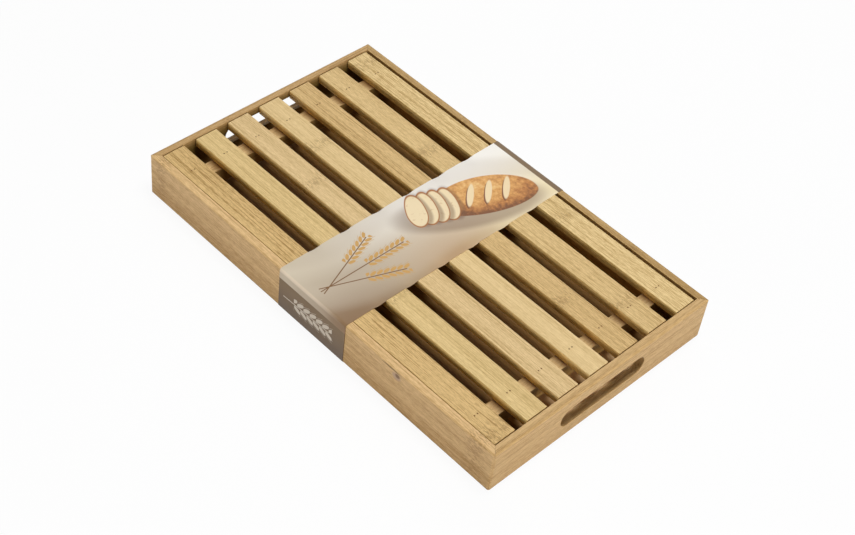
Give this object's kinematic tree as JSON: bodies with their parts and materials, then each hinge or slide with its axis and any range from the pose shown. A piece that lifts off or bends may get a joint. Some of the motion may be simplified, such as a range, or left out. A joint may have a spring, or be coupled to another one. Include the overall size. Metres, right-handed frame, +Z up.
{
  "type": "bread board",
  "caption": "Slatted bamboo bread board: a grille of slats pinned to cross battens lifts out of a shallow mitred tray that catches the crumbs and has a hand slot in each end.",
  "frame": {"origin": "on the table under the middle of the tray, at the centre of the bounding box in X and Y", "axes": "+X along the length to the right end, -Y to the front, +Z up"},
  "size_m": [0.38, 0.23, 0.039],
  "materials": {
    "bamboo_rail": "satin oiled bamboo, a little browner than the slats",
    "bamboo_slat": "satin oiled bamboo, pale golden, fine grain along the slat",
    "bamboo_floor": "matte bamboo ply",
    "steel_pin": "darkened steel pin heads"
  },
  "bodies": {
    "tray": {"rail_front": "bamboo_rail", "rail_back": "bamboo_rail", "end_rail_right": "bamboo_rail", "end_rail_left": "bamboo_rail", "tray_floor": "bamboo_floor", "support_strip_front": "bamboo_rail", "support_strip_back": "bamboo_rail"},
    "grille": {"slat_1": "bamboo_slat", "slat_2": "bamboo_slat", "slat_3": "bamboo_slat", "slat_4": "bamboo_slat", "slat_5": "bamboo_slat", "slat_6": "bamboo_slat", "slat_7": "bamboo_slat", "batten_left": "bamboo_slat", "batten_right": "bamboo_slat", "pin_1_left_a": "steel_pin", "pin_1_left_b": "steel_pin", "pin_1_right_a": "steel_pin", "pin_1_right_b": "steel_pin", "pin_2_left_a": "steel_pin", "pin_2_left_b": "steel_pin", "pin_2_right_a": "steel_pin", "pin_2_right_b": "steel_pin", "pin_3_left_a": "steel_pin", "pin_3_left_b": "steel_pin", "pin_3_right_a": "steel_pin", "pin_3_right_b": "steel_pin", "pin_4_left_a": "steel_pin", "pin_4_left_b": "steel_pin", "pin_4_right_a": "steel_pin", "pin_4_right_b": "steel_pin", "pin_5_left_a": "steel_pin", "pin_5_left_b": "steel_pin", "pin_5_right_a": "steel_pin", "pin_5_right_b": "steel_pin", "pin_6_left_a": "steel_pin", "pin_6_left_b": "steel_pin", "pin_6_right_a": "steel_pin", "pin_6_right_b": "steel_pin", "pin_7_left_a": "steel_pin", "pin_7_left_b": "steel_pin", "pin_7_right_a": "steel_pin", "pin_7_right_b": "steel_pin"}
  },
  "joints": [
    {"name": "grille_lift", "type": "slide", "parent": "tray", "child": "grille", "axis": [0, 0, 1], "range_m": [0, 0.06]}
  ]
}
